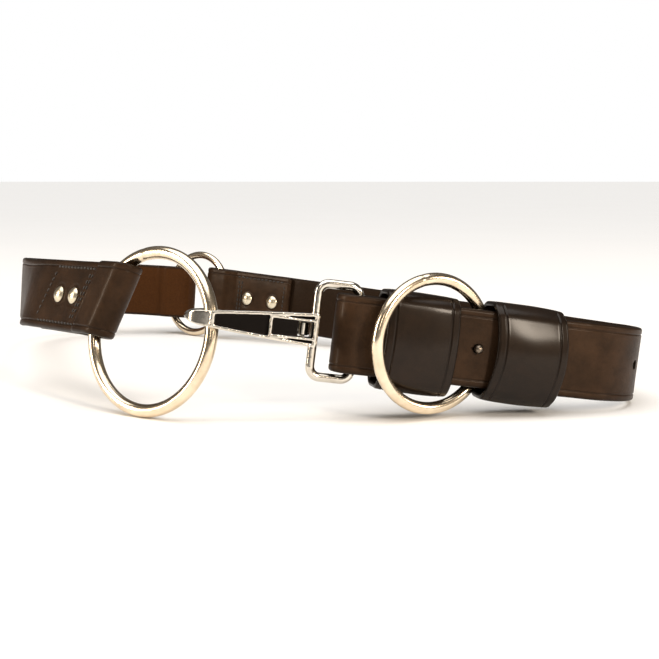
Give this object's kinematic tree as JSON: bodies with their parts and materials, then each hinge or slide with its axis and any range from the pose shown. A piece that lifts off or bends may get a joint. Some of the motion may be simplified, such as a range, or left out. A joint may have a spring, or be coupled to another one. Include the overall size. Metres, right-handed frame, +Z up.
{
  "type": "harness martingale",
  "caption": "Closed loop of strap leather joined by round rings and a spring snap hook, with two sliding keepers, adjusting holes, sewn and riveted folds.",
  "frame": {"origin": "under the middle of the loop, on the surface that it stands on", "axes": "+X to the right along the front run, +Y from the front run to the rear of the loop, +Z up across the straps' width"},
  "size_m": [0.3782, 0.3768, 0.0834],
  "materials": {
    "leather": "polished bridle leather, dark havana, with creased edges",
    "keeper_leather": "polished bridle leather, dark havana, with creased ends",
    "nickel": "polished nickel plate",
    "thread": "waxed linen thread"
  },
  "bodies": {
    "straps": {"main_strap": "leather", "short_strap": "leather", "adjusting_stud": "nickel", "main_rivets": "nickel", "main_burrs": "nickel", "short_rivets": "nickel", "short_burrs": "nickel", "main_stitching": "thread", "short_front_stitching": "thread", "short_rear_stitching": "thread"},
    "large_ring": {"large_ring": "nickel"},
    "rear_ring": {"rear_ring": "nickel"},
    "front_ring": {"front_ring": "nickel"},
    "snap": {"snap_body": "nickel", "snap_pin": "nickel", "snap_spring": "nickel"},
    "tongue": {"snap_tongue": "nickel"},
    "keeper_left": {"keeper_left": "keeper_leather", "keeper_left_stitching": "thread"},
    "keeper_right": {"keeper_right": "keeper_leather", "keeper_right_stitching": "thread"}
  },
  "joints": [
    {"name": "large_ring_turn", "type": "hinge", "parent": "straps", "child": "large_ring", "pos_m": [-0.06299, -0.15634, 0.04167], "axis": [0.5748, 0.7924, -0.204], "continuous": true},
    {"name": "rear_ring_turn", "type": "hinge", "parent": "straps", "child": "rear_ring", "pos_m": [-0.07392, 0.16128, 0.03116], "axis": [0.6253, 0.7648, -0.1555], "continuous": true},
    {"name": "front_ring_swing", "type": "hinge", "parent": "straps", "child": "front_ring", "pos_m": [0.10209, -0.15277, 0.03263], "axis": [0.1219, 0.0675, 0.9902], "range_deg": [0, 14]},
    {"name": "snap_swing", "type": "hinge", "parent": "straps", "child": "snap", "pos_m": [0.03743, -0.16572, 0.04147], "axis": [0.1219, 0.0675, 0.9902], "range_deg": [-0.8, 0.8]},
    {"name": "tongue_open", "type": "hinge", "parent": "snap", "child": "tongue", "pos_m": [0.01219, -0.17099, 0.04493], "axis": [0.1219, 0.0675, 0.9902], "range_deg": [0, 9], "stiffness_Nm_per_rad": 0.02, "springref_deg": -17.19},
    {"name": "keeper_left_slide", "type": "slide", "parent": "straps", "child": "keeper_left", "axis": [0.9775, 0.1651, -0.1316], "range_m": [-0.003, 0.0015]},
    {"name": "keeper_right_slide", "type": "slide", "parent": "straps", "child": "keeper_right", "axis": [0.9775, 0.1651, -0.1316], "range_m": [0, 0.012]}
  ]
}
